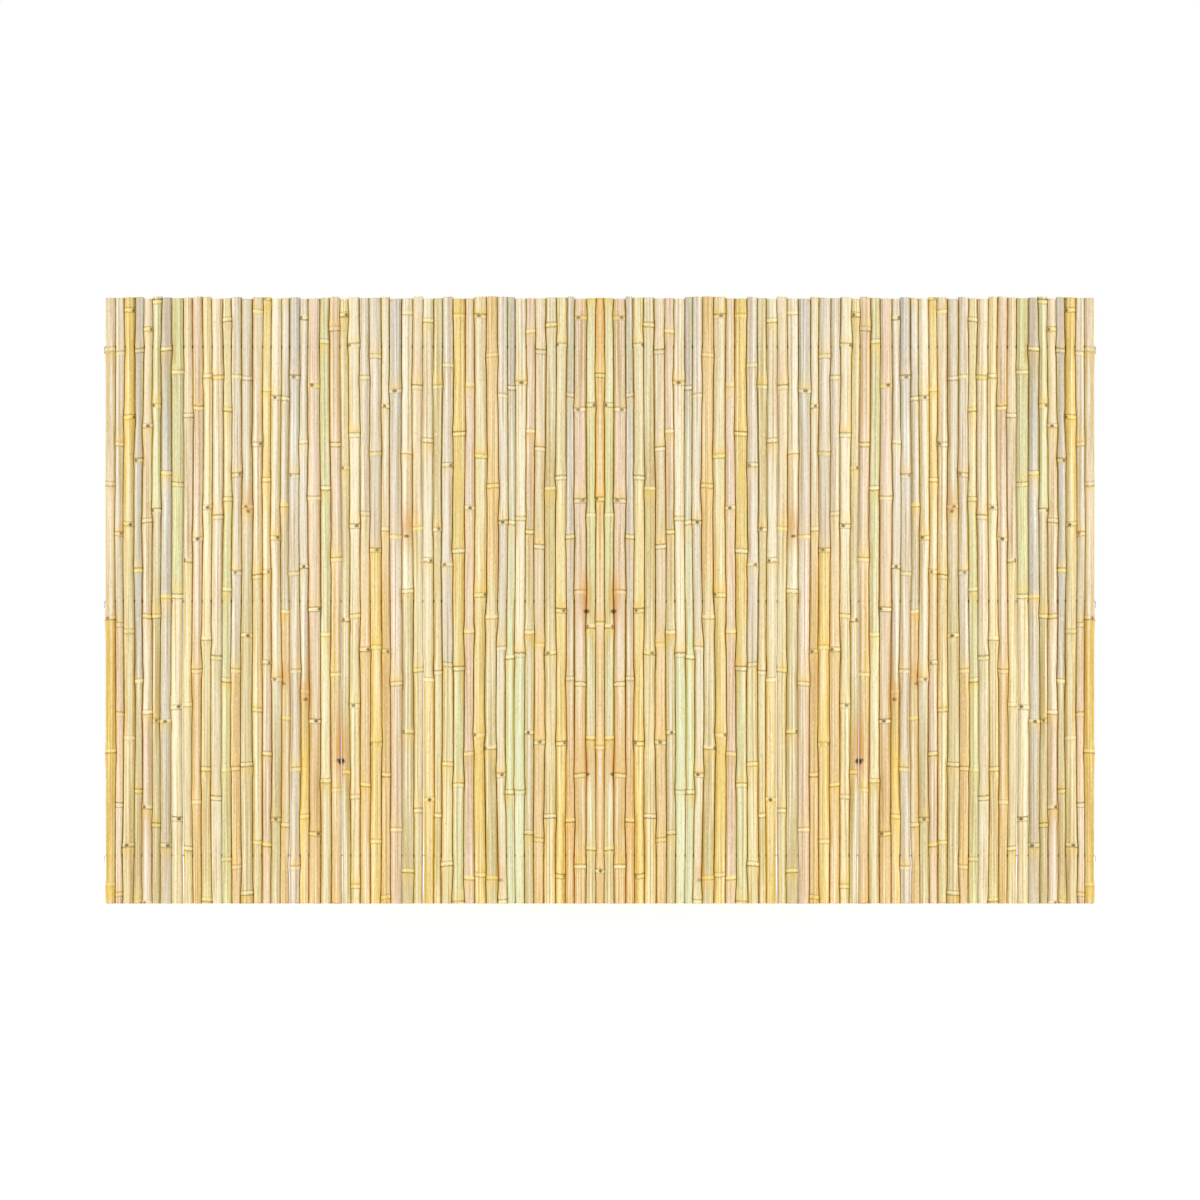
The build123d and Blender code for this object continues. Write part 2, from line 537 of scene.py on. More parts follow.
# %% Store the attributes
TONE_SWING = 0.10
internode_number = (climbed * cane["Tip"]).apply("FLOOR")
swing = chance_term(cane_tree, 1 - TONE_SWING, 1 + TONE_SWING / 3, cane["Seed"], internode_number)
above_change = (height - cane["Change Height"]) / cane["Change Length"] + 0.5
two_tone = blend(cane_tree, above_change, cane["Lower Tone"], cane["Upper Tone"], "RGBA")
scaling = {"Vector": two_tone, "Scale": swing}
tone = add(cane_tree, "ShaderNodeVectorMath", scaling, "Vector", operation="SCALE")
slanted = climbed + slant / cane["Internode"]
stored = {
    "growth": (slanted * cane["Tip"], "FLOAT", "POINT"),
    "internode": (cane["Internode"], "FLOAT", "POINT"),
    "tone": (tone, "FLOAT_COLOR", "POINT"),
    "cut": (end_row < end_rows - 0.5, "FLOAT", "POINT"),
    "UVMap": (Term(cane_tree, grid.socket.node.outputs["UV Map"]), "FLOAT2", "CORNER"),
}
dressed = bent
for name, (value, kind, domain) in stored.items():
    inputs = {"Geometry": dressed, "Name": name, "Value": value}
    dressed = add(cane_tree, "GeometryNodeStoreNamedAttribute", inputs, data_type=kind, domain=domain)
print("attributes:", ", ".join(stored))

# %% [markdown]
# ## Drilled holes and the twin
#
# The holes for the wires are real: a rod along the fence is cut from the cane at each wire with
# the quick Manifold solver, after the seam is closed, because a boolean wants a closed shell.
# The two halves of the fence mirror each other, so the tree ends by adding the cane's twin. A
# mirror turns faces inside out, and Flip Faces turns them back.

# %% Close, drill and mirror the cane
MERGE_REACH = 1e-5
ROD_SIZES = {"Vertices": 12, "Radius": 0.0016, "Depth": 0.05}
closed = add(cane_tree, "GeometryNodeMergeByDistance", {"Geometry": dressed, "Distance": MERGE_REACH})
rods = []
for wire_height in wire_heights:
    rod = add(cane_tree, "GeometryNodeMeshCylinder", ROD_SIZES)
    rod_x = cane["Foot X"] + cane["Lean"] * wire_height
    rod_place = add(cane_tree, "ShaderNodeCombineXYZ", {"X": rod_x, "Z": wire_height})
    turned = {"Geometry": rod, "Translation": rod_place, "Rotation": (0, math.pi / 2, 0)}
    rods.append(add(cane_tree, "GeometryNodeTransform", turned))
meshes = {"Mesh 1": closed, "Mesh 2": rods}
drilled = add(cane_tree, "GeometryNodeMeshBoolean", meshes, operation="DIFFERENCE", solver="MANIFOLD")
mirrored = add(cane_tree, "GeometryNodeTransform", {"Geometry": drilled, "Scale": (-1, 1, 1)})
twin = add(cane_tree, "GeometryNodeFlipFaces", {"Mesh": mirrored})
both = add(cane_tree, "GeometryNodeJoinGeometry", {"Geometry": [drilled, twin]})
choices = {"Switch": cane["Twin"], "False": drilled, "True": both}
chosen = add(cane_tree, "GeometryNodeSwitch", choices, input_type="GEOMETRY")
print("holes per cane:", len(rods))

# %% Give the skin and the cut ends their materials
smooth = add(cane_tree, "GeometryNodeSetShadeSmooth", {"Geometry": chosen, "Shade Smooth": True})
realized = add(cane_tree, "GeometryNodeRealizeInstances", {"Geometry": smooth})
skinned = add(cane_tree, "GeometryNodeSetMaterial", {"Geometry": realized, "Material": cane["Skin"]})
cut_mask = add(cane_tree, "GeometryNodeInputNamedAttribute", {"Name": "cut"}, data_type="FLOAT")
sawn = {"Geometry": skinned, "Selection": cut_mask > 0.9, "Material": cane["Cut"]}
end_tree(cane_tree, add(cane_tree, "GeometryNodeSetMaterial", sawn))
print("nodes in the cane tree:", len(cane_tree.nodes))

# %% [markdown]
# ## Patterns that the finishes share
#
# Bamboo skin and the sawn ends both show long fibres, and every finish has fine specks of dirt.
# Each pattern is a shader group, built once. The two halves of the fence mirror each other, so
# the first group folds the place over at the centre cane and all the others start from it.

# %% Shader groups
def start_group(name, inputs, outputs):
    """A shader group with named inputs and outputs."""
    group = bpy.data.node_groups.new(name, "ShaderNodeTree")
    for title, kind in outputs.items():
        group.interface.new_socket(title, in_out="OUTPUT", socket_type="NodeSocket" + kind)
    for title, kind in inputs.items():
        group.interface.new_socket(title, in_out="INPUT", socket_type="NodeSocket" + kind)
    source = group.nodes.new("NodeGroupInput")
    sink = group.nodes.new("NodeGroupOutput")
    return group, {title: Term(group, source.outputs[title]) for title in inputs}, sink


def use_group(tree, group, inputs, out):
    """Place a group in a material with its own values."""
    node = tree.nodes.new("ShaderNodeGroup")
    node.node_tree = group
    for title, value in inputs.items():
        feed(node.inputs[title], value)
    return Term(tree, node.outputs[out])


def split(tree, whole, kind="XYZ"):
    """The three parts of a vector or a colour."""
    node = tree.nodes.new("ShaderNodeSeparate" + kind)
    feed(node.inputs[0], whole)
    return [Term(tree, slot) for slot in node.outputs]


folded_place, _, folded_sink = start_group("Folded place", {}, {"Place": "Vector"})
fold_x, fold_y, fold_z = split(folded_place, add(folded_place, "ShaderNodeTexCoord", out="Object"))
folded = add(folded_place, "ShaderNodeCombineXYZ", {"X": abs(fold_x), "Y": fold_y, "Z": fold_z})
feed(folded_sink.inputs["Place"], folded)
print("group:", folded_place.name)

# %% Long fibres
fibres, fibre_in, fibre_sink = start_group(
    "Long fibres", {"Across": "Float", "Along": "Float", "Detail": "Float"}, {"Streak": "Float"}
)
fibre_scale = add(
    fibres,
    "ShaderNodeCombineXYZ",
    {"X": fibre_in["Across"], "Y": fibre_in["Across"], "Z": fibre_in["Along"]},
)
fibre_place = use_group(fibres, folded_place, {}, "Place")
stretched = add(fibres, "ShaderNodeVectorMath", {0: fibre_place, 1: fibre_scale}, operation="MULTIPLY")
fibre_noise = {"Vector": stretched, "Scale": 1.0, "Detail": fibre_in["Detail"]}
feed(fibre_sink.inputs["Streak"], add(fibres, "ShaderNodeTexNoise", fibre_noise))


def streaks(tree, across, along, detail):
    """The fibres in a material, at a scale of their own."""
    return use_group(tree, fibres, {"Across": across, "Along": along, "Detail": detail}, "Streak")


print("group:", fibres.name)

# %% Specks of dirt
SPECK_SHARPNESS = 2.5
specks, speck_in, speck_sink = start_group(
    "Specks", {"Scale": "Float", "Size": "Float", "Share": "Float"}, {"Speck": "Float"}
)
cells_node = specks.nodes.new("ShaderNodeTexVoronoi")
feed(cells_node.inputs["Vector"], use_group(specks, folded_place, {}, "Place"))
feed(cells_node.inputs["Scale"], speck_in["Scale"])
cell_distance = Term(specks, cells_node.outputs["Distance"])
cell_chance, _, _ = split(specks, Term(specks, cells_node.outputs["Color"]), "Color")
has_speck = cell_chance < speck_in["Share"]
inside = ((speck_in["Size"] - cell_distance) / speck_in["Size"]).apply("MAXIMUM", 0.0)
feed(speck_sink.inputs["Speck"], (inside * SPECK_SHARPNESS).apply("MINIMUM", 1.0) * has_speck)


def dots(tree, scale, size, share):
    """The specks in a material, at a scale of their own."""
    return use_group(tree, specks, {"Scale": scale, "Size": size, "Share": share}, "Speck")


print("group:", specks.name)

# %% [markdown]
# ## Bamboo skin
#
# Dried bamboo skin is smooth and a little waxy. Its tone runs from cream and straw to amber,
# ash grey and pale green, and it changes from cane to cane. A picture of bamboo could be wrapped
# round each cane, but it would repeat, and it would not know where the nodes are. So the skin is
# painted in coats, and each coat has a mask that is worked out from the stored attributes.

# %% Start the skin
RING_WOBBLE = 0.0035


def srgb(red, green, blue):
    """A colour typed as 0 to 255 screen values, as Blender's linear colour."""
    def linear(value):
        share = value / 255
        return share / 12.92 if share <= 0.04045 else ((share + 0.055) / 1.055) ** 2.4
    return (linear(red), linear(green), linear(blue), 1.0)


def start_material(name):
    """A material with an empty Principled BSDF joined to its output."""
    material = bpy.data.materials.new(name)
    material.use_nodes = True
    tree = material.node_tree
    return material, tree, tree.nodes["Principled BSDF"]


def attribute(tree, name, out):
    """An attribute of the mesh."""
    return add(tree, "ShaderNodeAttribute", out=out, attribute_name=name)


def coat(under, share, over, mode="MIX"):
    """Lay one more coat of colour over the skin."""
    return blend(skin_tree, share, under, over, "RGBA", mode)


skin, skin_tree, skin_shader = start_material("bamboo_skin")
growth = attribute(skin_tree, "growth", "Fac")
internode = attribute(skin_tree, "internode", "Fac")
node_number = growth.apply("ROUND")
wobble = (streaks(skin_tree, 110.0, 40.0, 2.0) - 0.5) * RING_WOBBLE
node_gap = (growth - node_number) * internode + wobble
print("material:", skin.name)

# %% [markdown]
# A node has a bright ridge, a thin brown line at the sheath scar and another at the lip above the
# ridge. On its butt side a golden glow fades down the internode. Each of them is a bell or a
# fading curve of the distance to the node. No two nodes look alike, so every node and internode
# draws chances of its own, which say how strong each mark is.

# %% Rings at the nodes
GLOW_LENGTH = 0.022
GLOW_EDGE = 0.0005
RIDGE_BAND = (0.0048, 0.0048)
SCAR_LINE = (-0.0006, 0.0017)
LIP_LINE = (0.0106, 0.0015)
butt_side = (node_gap * -1.0).apply("MAXIMUM", 0.0)
glow = (butt_side / -GLOW_LENGTH).apply("EXPONENT") * (node_gap < GLOW_EDGE)
ridge_band = bell(*RIDGE_BAND, node_gap)
scar_line = bell(*SCAR_LINE, node_gap)
lip_line = bell(*LIP_LINE, node_gap)
print("a node has a glow, a ridge, a scar line and a lip line")

# %% Chance at each node and internode
CANE_KEY = 977.0


def chances(number, salt):
    """Three random numbers for each node or internode of each cane."""
    key_parts = {"X": number, "Y": internode * CANE_KEY, "Z": salt}
    key = add(skin_tree, "ShaderNodeCombineXYZ", key_parts)
    noise = add(skin_tree, "ShaderNodeTexWhiteNoise", {"Vector": key}, "Color", noise_dimensions="3D")
    return split(skin_tree, noise, "Color")


def vary(chance, least, most):
    """A number from 0 to 1, spread between two strengths."""
    return chance * (most - least) + least


glow_chance, ridge_chance, hue_chance = chances(node_number, 1.5)
scar_chance, stain_chance, eye_chance = chances(node_number, 2.5)
amber_chance, _, wire_chance = chances(growth.apply("FLOOR"), 3.5)
print("every node and internode has chances of its own")

# %% [markdown]
# The first coats streak the tone of the cane with paler, deeper, rosy and greenish fibres. One
# pattern serves for all of them: it is stretched along the cane to four different scales, and a
# coat covers only where the pattern rises above a level or falls below one.

# %% Streaks and mottling
SKIN_PALE = srgb(255, 249, 230)
SKIN_DEEP = srgb(182, 138, 46)
SKIN_ROSE = srgb(216, 184, 150)
SKIN_GREEN = srgb(208, 206, 134)
fine = streaks(skin_tree, 900.0, 8.0, 3.0)
bands = streaks(skin_tree, 230.0, 2.5, 2.0)
broad = streaks(skin_tree, 90.0, 6.0, 4.0)
mottle = streaks(skin_tree, 300.0, 120.0, 5.0)
# height over a level, steepness, most that the coat covers, colour
COATS = (
    (broad - 0.52, 2.5, 0.45, SKIN_GREEN),
    (broad * -1.0 + 0.46, 2.5, 0.4, SKIN_ROSE),
    (bands - 0.52, 5.5, 0.7, SKIN_PALE),
    (bands * -1.0 + 0.46, 5.0, 0.55, SKIN_DEEP),
    (fine * -1.0 + 0.49, 2.2, 0.4, SKIN_DEEP),
    (mottle - 0.54, 1.8, 0.25, SKIN_PALE),
    (mottle * -1.0 + 0.43, 2.2, 0.3, SKIN_DEEP),
)
colour = attribute(skin_tree, "tone", "Color")
for excess, steepness, most, paint in COATS:
    colour = coat(colour, (excess * steepness).between(0.0, most), paint)
print("coats of streaks:", len(COATS))

# %% [markdown]
# The flanks of a cane lie against its neighbours, where the sun does not bleach them and where
# shade falls. They are made more amber than the face, which is partly weathering and partly painted
# shade, and a brown line of painted shade runs where two canes touch. Both follow the UV map round
# the cane and are multiplied in. The free side of an end cane has no such line.

# %% Amber flanks and painted crease shade
FLANK_AMBER_SHADE_TINT = (0.92, 0.74, 0.12, 1.0)
FLANK_EDGE = 2.4
FLANK_STRENGTH = (0.15, 1.0)
CREASE_SHADE_TINT = (0.36, 0.23, 0.02, 1.0)
CREASE_SHADE_EDGE = 18.0
CREASE_SHADE_STRENGTH = 0.75
_, around_share, _ = split(skin_tree, add(skin_tree, "ShaderNodeUVMap", uv_map="UVMap"))
flank = abs((around_share * math.tau).apply("SINE"))
# Amber weathering and painted shade: the flanks are darkened towards the neighbours.
amber = flank.apply("POWER", FLANK_EDGE) * vary(amber_chance * amber_chance, *FLANK_STRENGTH)
colour = coat(colour, amber, FLANK_AMBER_SHADE_TINT, "MULTIPLY")
skin_place = use_group(skin_tree, folded_place, {}, "Place")
place_across, place_depth, place_height = split(skin_tree, skin_place)
has_neighbour = place_across < row_of_canes[-1]["Foot X"]
# Painted shade: a brown line where two canes touch.
painted_crease_shade = flank.apply("POWER", CREASE_SHADE_EDGE) * CREASE_SHADE_STRENGTH * has_neighbour
colour = coat(colour, painted_crease_shade, CREASE_SHADE_TINT, "MULTIPLY")
print("flanks are darker than the faces")

# %% [markdown]
# Now the rings go on, from the widest to the finest. About one node in four also has a dark eye
# on its ridge, where a branch was trimmed off. Specks of dirt gather around the nodes, and a dark
# spot of painted shade marks each wire hole where it opens at the side of a cane.

# %% Paint the rings
RIDGE_CREAM = srgb(254, 240, 190)
RIDGE_YELLOW = srgb(252, 226, 96)
NODE_GOLD = srgb(240, 200, 84)
SCAR_BROWN = srgb(104, 70, 14)
GLOW_STRENGTH = (0.0, 0.7)
RIDGE_STRENGTH = (0.35, 0.9)
LINE_FLANK_SHADE = (0.6, 1.0)
SCAR_STRENGTH = (0.2, 1.0)
LIP_STRENGTH = (0.0, 0.8)
EYE_STRENGTH = 0.9
EYE_SHARE = 0.28
EYE_SPREAD = 0.3
EYE_HEIGHT = 0.004
EYE_EDGE = (0.00297, 0.00568)
CANE_GIRTH = 0.075


def spot(across, along, full, gone):
    """A round spot: 1 up to one distance from its middle, fading to 0 at another."""
    distance = (across * across + along * along).apply("SQRT")
    return ((distance * -1.0 + gone) / (gone - full)).between(0.0, 1.0)


ridge_colour = blend(skin_tree, hue_chance, RIDGE_CREAM, RIDGE_YELLOW, "RGBA")
colour = coat(colour, glow * vary(glow_chance, *GLOW_STRENGTH), NODE_GOLD)
colour = coat(colour, ridge_band * vary(ridge_chance, *RIDGE_STRENGTH), ridge_colour)
eye_turn = (around_share - 0.5 - (stain_chance - 0.5) * EYE_SPREAD) * CANE_GIRTH
eye = spot(eye_turn, node_gap - EYE_HEIGHT, *EYE_EDGE) * (eye_chance < EYE_SHARE)
# Painted shade: the scar and lip lines are made darker towards the flanks, at the ends of the ring.
line_flank_shade = vary(flank, *LINE_FLANK_SHADE)
scar = scar_line * vary(scar_chance, *SCAR_STRENGTH) * line_flank_shade
lip = lip_line * vary(stain_chance, *LIP_STRENGTH) * line_flank_shade
dark = scar.apply("MAXIMUM", lip).apply("MAXIMUM", eye * EYE_STRENGTH)
colour = coat(colour, dark, SCAR_BROWN)
print("nodes with a dark eye:", EYE_SHARE)

# %% Specks, and the painted shade at the wire holes
SPECK_BROWN = srgb(92, 60, 30)
SPECK_STRENGTH = 0.5
NODE_DIRT = (0.001, 0.007)
NODE_DIRT_STRENGTH = 0.8
HOLE_SHADE_BROWN = srgb(52, 34, 20)
HOLE_SHADE_STRENGTH = (0.3, 1.0)
HOLE_SHADE_EDGE = (0.00397, 0.00691)
small_specks = dots(skin_tree, 170.0, 0.16, 0.10)
node_specks = dots(skin_tree, 330.0, 0.40, 0.35)
near_node = bell(*NODE_DIRT, node_gap) * (stain_chance > 0.5)
node_dirt = node_specks * near_node * NODE_DIRT_STRENGTH
colour = coat(colour, (small_specks * SPECK_STRENGTH).apply("MAXIMUM", node_dirt), SPECK_BROWN)
from_wires = [abs(place_height - wire_height) for wire_height in wire_heights]
from_wire = from_wires[0]
for other in from_wires[1:]:
    from_wire = from_wire.apply("MINIMUM", other)
# Painted shade: a dark spot where each wire hole opens at the side of a cane.
painted_hole_shade = spot(place_depth, from_wire, *HOLE_SHADE_EDGE) * vary(wire_chance, *HOLE_SHADE_STRENGTH)
colour = coat(colour, painted_hole_shade, HOLE_SHADE_BROWN)
print("stains at", len(from_wires), "wires")

# %% [markdown]
# Some marks catch the eye from across the fence: a dark knot with an amber run above it, and a
# few dark nodes and bruises. They are noted as places on the right half, and the folded
# place repeats them on the left. Each has a dark core and a longer amber halo.

# %% Marks that stand out
KNOT_BROWN = srgb(70, 36, 6)
KNOT_FLATNESS = 0.6
KNOT_FILL = 1.5
KNOT_RAGGED = 3.0
BRUISE_AMBER = srgb(214, 152, 54)
BRUISE_WIDTH = 0.014
BRUISE_STRENGTH = 0.85
# place along the fence, height, size, strength, length of the amber run
MARKS = (
    (0.636, 0.350, 0.0072, 1.0, 0.07),
    (0.033, 0.718, 0.0050, 0.8, 0.06),
    (0.475, 0.903, 0.0045, 0.7, 0.05),
    (0.723, 0.502, 0.0045, 0.7, 0.03),
    (0.777, 0.541, 0.0035, 0.6, 0.03),
    (0.030, 0.318, 0.0040, 0.7, 0.05),
    (0.245, 0.058, 0.0050, 0.4, 0.03),
    (0.865, 0.964, 0.0040, 0.6, 0.04),
)
on_front = place_depth < 0.0
ragged = (mottle - 0.5) * KNOT_RAGGED
for mark_x, mark_z, mark_size, mark_share, run in MARKS:
    off_x = (place_across - mark_x) / mark_size
    off_z = (place_height - mark_z) / mark_size
    core = (off_x * off_x * KNOT_FLATNESS + off_z * off_z + ragged) * -1.0 + KNOT_FILL
    bruise = bell(mark_x, BRUISE_WIDTH, place_across) * bell(mark_z + run / 2, run, place_height)
    colour = coat(colour, bruise * on_front * (mark_share * BRUISE_STRENGTH), BRUISE_AMBER)
    colour = coat(colour, core.between(0.0, 1.0) * on_front * mark_share, KNOT_BROWN)
print("marks on each half:", len(MARKS))

# %% Gloss and relief of the skin
SKIN_ROUGHNESS = (0.28, 0.53)
SKIN_RELIEF = (0.12, 0.0004)
SKIN_GLOSS = 0.35


def finish_material(shader, colour, roughness, relief, strength, depth):
    """Join a colour, a roughness and a fine relief to a material's shader."""
    bump = {"Height": relief, "Strength": strength, "Distance": depth}
    feed(shader.inputs["Base Color"], colour)
    feed(shader.inputs["Roughness"], roughness)
    feed(shader.inputs["Normal"], add(relief.tree, "ShaderNodeBump", bump))


skin_shader.inputs["Specular IOR Level"].default_value = SKIN_GLOSS
finish_material(skin_shader, colour, vary(fine, *SKIN_ROUGHNESS), fine, *SKIN_RELIEF)
print("skin finished")

# %% [markdown]
# ## Sawn ends
#
# The sawn ends show the wall of the culm: pale wood dotted with dark fibre bundles. The dots come
# from the speck group at a size of under a millimetre, over fibres seen end on. The hollow is of
# the same wood and goes dark by its own shade.

# %% Sawn ends
def colour_ramp(tree, share, stops):
    """A colour that runs through a list of stops."""
    node = tree.nodes.new("ShaderNodeValToRGB")
    elements = node.color_ramp.elements
    while len(elements) < len(stops):
        elements.new(0.5)
    for element, (position, stop_colour) in zip(elements, stops):
        element.position = position
        element.color = stop_colour
    feed(node.inputs["Fac"], share)
    return Term(tree, node.outputs["Color"])


CUT_WOOD = ((0.30, srgb(212, 180, 126)), (0.50, srgb(234, 212, 164)), (0.70, srgb(246, 232, 194)))
CUT_ROUGHNESS = (0.7, 0.9)
CUT_RELIEF = (0.3, 0.0003)
BUNDLE_BROWN = srgb(132, 94, 52)
BUNDLE_STRENGTH = 0.45
cut, cut_tree, cut_shader = start_material("bamboo_cut_end")
bundles = dots(cut_tree, 900.0, 0.36, 0.5)
cut_streak = streaks(cut_tree, 260.0, 60.0, 4.0)
cut_colour = colour_ramp(cut_tree, cut_streak, CUT_WOOD)
cut_colour = blend(cut_tree, bundles * BUNDLE_STRENGTH, cut_colour, BUNDLE_BROWN, "RGBA")
finish_material(cut_shader, cut_colour, vary(cut_streak, *CUT_ROUGHNESS), bundles, *CUT_RELIEF)
print("material:", cut.name)

# %% [markdown]
# ## Tones of the canes
#
# The canes were cut from different culms and have weathered differently, so the row is a mix of
# a dozen tones. They are noted as words, one pair for each cane from the end of the fence
# to the middle: the tone of its upper part, then of its lower part. Most canes change tone at a
# node, so the change is set at a node somewhere about the middle, sharp or slow by chance.

# %% Palette and the order of the tones
PALETTE = {
    "cream": srgb(250, 240, 208),
    "straw": srgb(244, 231, 180),
    "gold": srgb(246, 218, 126),
    "amber": srgb(240, 208, 148),
    "orange": srgb(238, 196, 124),
    "tan": srgb(238, 220, 184),
    "blush": srgb(240, 216, 190),
    "ash": srgb(230, 221, 202),
    "slate": srgb(210, 207, 196),
    "sage": srgb(226, 228, 172),
    "mint": srgb(232, 240, 196),
    "olive": srgb(220, 208, 158),
}
TONES = """
tan gold, ash blush, gold straw, slate olive, tan blush, sage olive, slate ash, sage straw, tan straw,
blush amber, straw straw, tan cream, straw sage, ash amber, ash olive, tan straw, gold blush,
cream olive, ash amber, slate ash, ash gold, blush amber, sage straw, blush amber, straw olive,
cream straw, ash amber, ash gold, cream amber, slate blush, cream olive, tan straw, cream gold,
olive straw, ash straw, gold sage, blush blush, straw gold, amber olive, ash cream, slate mint,
cream mint, blush olive, tan amber, olive straw, straw gold, slate orange, blush amber, sage straw,
orange orange
"""
tones = [pair.split() for pair in TONES.replace("\n", " ").split(",")]
print("canes with tones:", len(tones), "of", len(cane_nodes))

# %% [markdown]
# ## Make the canes
#
# The tree runs once for each node of the frame, and its result becomes a plain mesh that stands
# for that node.

# %% Run the cane tree
TONE_SEED = 8
CHANGE_SHARES = (0.3, 0.7)
CHANGE_LENGTHS = (0.01, 0.3, 0.7)


def make_canes(node, number, upper, lower):
    """The cane of one node, with its twin where it has one."""
    sizes = growth_of[node]
    change = sizes["Length"] * tone_chance.uniform(*CHANGE_SHARES)
    change_node = round((change - sizes["First Node"]) / sizes["Internode"])
    values = sizes | {
        "Twin": number > 0,
        "Change Height": sizes["First Node"] + change_node * sizes["Internode"],
        "Change Length": tone_chance.choice(CHANGE_LENGTHS),
        "Lower Tone": PALETTE[lower],
        "Upper Tone": PALETTE[upper],
        "Skin": skin,
        "Cut": cut,
    }
    piece = run_tree("bamboo_" + node, cane_tree, values)
    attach(piece, "root")
    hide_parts(node)
    return piece


def triangles(piece):
    """How many triangles a piece has."""
    return len(piece.data.loops) - 2 * len(piece.data.polygons)


tone_chance = random.Random(TONE_SEED)
canes = []
for number, node in enumerate(cane_nodes):
    upper, lower = tones[len(cane_nodes) - 1 - number]
    canes.append(make_canes(node, number, upper, lower))
print("cane pieces:", len(canes), "triangles:", sum(map(triangles, canes)))

# %% [markdown]
# ## Galvanised wires
#
# The wires are plain drawn steel with a dull zinc coat. A wire is a path with a round section,
# so its tree makes the path from four points, rounds the two corners and sweeps a circle along.
# Its sizes come from the box of the CAD wire.

# %% Zinc
ZINC_GREYS = ((0.30, srgb(120, 120, 118)), (0.52, srgb(164, 166, 166)), (0.70, srgb(196, 198, 200)))
ZINC_ROUGHNESS = (0.30, 0.65)
ZINC_RELIEF = (0.15, 0.0002)
GRIME_BROWN = srgb(96, 84, 70)
GRIME_STRENGTH = 0.5
zinc, zinc_tree, zinc_shader = start_material("galvanised_zinc")
spangle = streaks(zinc_tree, 700.0, 700.0, 4.0)
grime = dots(zinc_tree, 420.0, 0.35, 0.25)
zinc_colour = colour_ramp(zinc_tree, spangle, ZINC_GREYS)
zinc_colour = blend(zinc_tree, grime * GRIME_STRENGTH, zinc_colour, GRIME_BROWN, "RGBA")
zinc_shader.inputs["Metallic"].default_value = 0.9
finish_material(zinc_shader, zinc_colour, vary(spangle, *ZINC_ROUGHNESS), spangle, *ZINC_RELIEF)
print("material:", zinc.name)

# %% The wire tree
WIRE_SIDES = 12
BEND_POINTS = 6
wire_inputs = dict.fromkeys(("Half Length", "Height", "Tail", "Radius", "Bend Radius"), "Float")
wire_inputs["Zinc"] = "Material"
wire_tree, wire = start_tree("Galvanised wire", wire_inputs)
line = add(wire_tree, "GeometryNodeMeshLine", {"Count": 4})
corner = add(wire_tree, "GeometryNodeInputIndex")
on_right = (corner > 1.5) * 2 - 1
at_tail = abs(corner - 1.5) > 1.0
corner_place = add(
    wire_tree,
    "ShaderNodeCombineXYZ",
    {"X": wire["Half Length"] * on_right, "Z": wire["Height"] - wire["Tail"] * at_tail},
)
path_points = add(wire_tree, "GeometryNodeSetPosition", {"Geometry": line, "Position": corner_place})
path = add(wire_tree, "GeometryNodeMeshToCurve", {"Mesh": path_points})
bend_inputs = {"Curve": path, "Count": BEND_POINTS, "Radius": wire["Bend Radius"]}
bent_path = add(wire_tree, "GeometryNodeFilletCurve", bend_inputs, mode="POLY")
section_sizes = {"Resolution": WIRE_SIDES, "Radius": wire["Radius"]}
section = add(wire_tree, "GeometryNodeCurvePrimitiveCircle", section_sizes)
sweep_inputs = {"Curve": bent_path, "Profile Curve": section, "Fill Caps": True}
swept = add(wire_tree, "GeometryNodeCurveToMesh", sweep_inputs)
rounded = add(wire_tree, "GeometryNodeSetShadeSmooth", {"Geometry": swept, "Shade Smooth": True})
wire_real = add(wire_tree, "GeometryNodeRealizeInstances", {"Geometry": rounded})
zinced = add(wire_tree, "GeometryNodeSetMaterial", {"Geometry": wire_real, "Material": wire["Zinc"]})
end_tree(wire_tree, zinced)
print("nodes in the wire tree:", len(wire_tree.nodes))

# %% Run the wire tree
BEND_RADIUS = 0.003
for name in WIRE_NAMES:
    low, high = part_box(name)
    wire_values = {
        "Half Length": high[0] - WIRE_RADIUS,
        "Height": high[2] - WIRE_RADIUS,
        "Tail": high[2] - WIRE_RADIUS - low[2],
        "Radius": WIRE_RADIUS,
        "Bend Radius": BEND_RADIUS,
        "Zinc": zinc,
    }
    piece = run_tree("galvanised_" + name, wire_tree, wire_values)
    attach(piece, "root")
    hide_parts(name)
    print(piece.name, "triangles:", triangles(piece))

# %% [markdown]
# ## Studio
#
# The fence stands on a white floor in front of nothing but white. The world and the floor are
# white only to the camera and in reflections. To other rays the world is dim, so the background
# does not flood the fence with light. The floor glows by just as much as it lacks to be white,
# which is less in the pool of light around the fence, so that the soft shadow shows.

# %% Floor
FLOOR_SIZE = 60.0
FLOOR_PAINT = 0.85
AMBIENT = 0.22
LAMP_LIGHT = 0.44
POOL_LENGTH = 2.2
POOL_WIDTH = 1.3
floor_mesh = bpy.data.meshes.new("floor")
half = FLOOR_SIZE / 2
floor_corners = [(-half, -half, 0), (half, -half, 0), (half, half, 0), (-half, half, 0)]
floor_mesh.from_pydata(floor_corners, [], [(0, 1, 2, 3)])
floor = bpy.data.objects.new("floor", floor_mesh)
scene.collection.objects.link(floor)
floor_paint, floor_tree, floor_shader = start_material("white_floor")
floor_shader.inputs["Base Color"].default_value = (FLOOR_PAINT, FLOOR_PAINT, FLOOR_PAINT, 1)
floor_shader.inputs["Roughness"].default_value = 1.0
floor_shader.inputs["Specular IOR Level"].default_value = 0.0
floor_glow = floor_tree.nodes.new("ShaderNodeEmission")
floor_sum = floor_tree.nodes.new("ShaderNodeAddShader")


def seen_directly(tree):
    """1 for camera rays and for rays that a mirror or glass sends on."""
    seen = add(tree, "ShaderNodeLightPath", out="Is Camera Ray")
    rays = seen.socket.node.outputs
    for title in ("Is Glossy Ray", "Is Transmission Ray"):
        seen = seen.apply("MAXIMUM", Term(tree, rays[title]))
    return seen


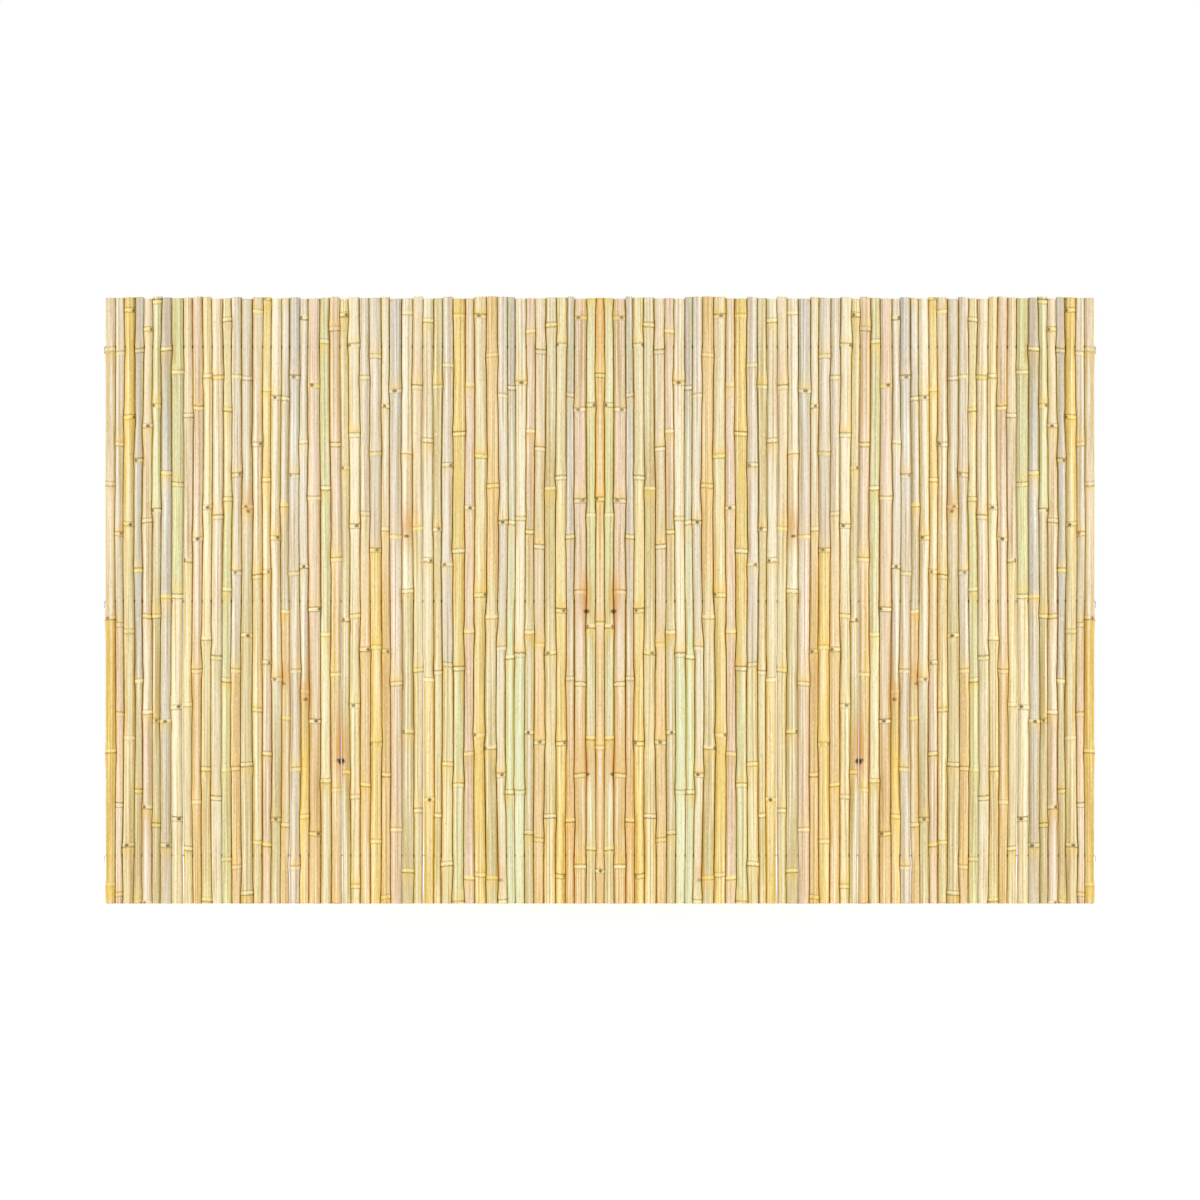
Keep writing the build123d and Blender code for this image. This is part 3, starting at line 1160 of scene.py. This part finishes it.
floor_x, floor_y, _ = split(floor_tree, add(floor_tree, "ShaderNodeTexCoord", out="Object"))
lamp_light = bell(0.0, POOL_LENGTH, floor_x) * bell(0.0, POOL_WIDTH, floor_y) * LAMP_LIGHT
floor_lack = lamp_light * -1.0 + (1 - FLOOR_PAINT * AMBIENT)
feed(floor_glow.inputs["Strength"], seen_directly(floor_tree) * floor_lack)
floor_tree.links.new(floor_shader.outputs[0], floor_sum.inputs[0])
floor_tree.links.new(floor_glow.outputs[0], floor_sum.inputs[1])
floor_tree.links.new(floor_sum.outputs[0], floor_tree.nodes["Material Output"].inputs["Surface"])
floor_mesh.materials.append(floor_paint)
print("floor", FLOOR_SIZE, "m wide")

# %% World
world = bpy.data.worlds.new("white_studio")
scene.world = world
world.use_nodes = True
world_tree = world.node_tree
backdrop = world_tree.nodes["Background"]
backdrop.inputs["Color"].default_value = (1, 1, 1, 1)
feed(backdrop.inputs["Strength"], blend(world_tree, seen_directly(world_tree), AMBIENT, 1.0))
print("ambient light", AMBIENT)

# %% [markdown]
# Two large soft lamps stand beyond the two ends of the fence and light it slantwise. Each is aimed
# at its own half, so that a cane's bright side faces its own end of the fence. Two more lamps
# light the back, and one overhead lights the sawn ends.

# %% Lamps
LAMP_TURN = math.radians(46)
LAMP_DISTANCE = 3.6
LAMP_RISE = 0.8
AIM_ACROSS = 0.72
AIM_RISE = 0.12
BACK_PLACE = (2.6, 3.4, 2.4)
TOP_PLACE = (0, -0.5, 3.4)
TOP_AIM = (0, 0, 1.2)
FRONT_LAMP = {"size": (1.0, 3.0), "power": 15.5, "spread": 56}
BACK_LAMP = {"size": (2.0, 2.0), "power": 22, "spread": 110}
TOP_LAMP = {"size": (3.0, 1.0), "power": 11, "spread": 120}
fence_middle = cad_box[1][2] / 2


def soft_lamp(name, place, target, size, power, spread):
    """A rectangular area lamp aimed at a point."""
    data = bpy.data.lights.new(name, "AREA")
    data.shape = "RECTANGLE"
    data.size, data.size_y = size
    data.energy = power
    data.spread = math.radians(spread)
    lamp = bpy.data.objects.new(name, data)
    scene.collection.objects.link(lamp)
    lamp.location = place
    aim = mathutils.Vector(target) - mathutils.Vector(place)
    lamp.rotation_euler = aim.to_track_quat("-Z", "Y").to_euler()


for side, word in ((-1, "left"), (1, "right")):
    target = (side * AIM_ACROSS, 0, fence_middle + AIM_RISE)
    lamp_x = target[0] + side * math.sin(LAMP_TURN) * LAMP_DISTANCE
    lamp_place = (lamp_x, -math.cos(LAMP_TURN) * LAMP_DISTANCE, fence_middle + LAMP_RISE)
    back_place = (side * BACK_PLACE[0], *BACK_PLACE[1:])
    soft_lamp(word + "_lamp", lamp_place, target, **FRONT_LAMP)
    soft_lamp(word + "_back_lamp", back_place, target, **BACK_LAMP)
soft_lamp("top_lamp", TOP_PLACE, TOP_AIM, **TOP_LAMP)

# %% [markdown]
# The camera looks straight at the middle of the fence. It stands far away with a long lens,
# because from close by the canes towards the ends would be seen from one side.

# %% Camera
CAMERA_DISTANCE = 14.0
PHOTO_WIDTH = 2.95
camera_data = bpy.data.cameras.new("camera")
camera_data.sensor_width = 36.0
camera_data.lens = camera_data.sensor_width * CAMERA_DISTANCE / PHOTO_WIDTH
camera = bpy.data.objects.new("camera", camera_data)
scene.collection.objects.link(camera)
camera.location = (0, -CAMERA_DISTANCE, fence_middle)
camera.rotation_euler = (math.pi / 2, 0, 0)
scene.camera = camera
print(f"lens {camera_data.lens:.0f} mm")
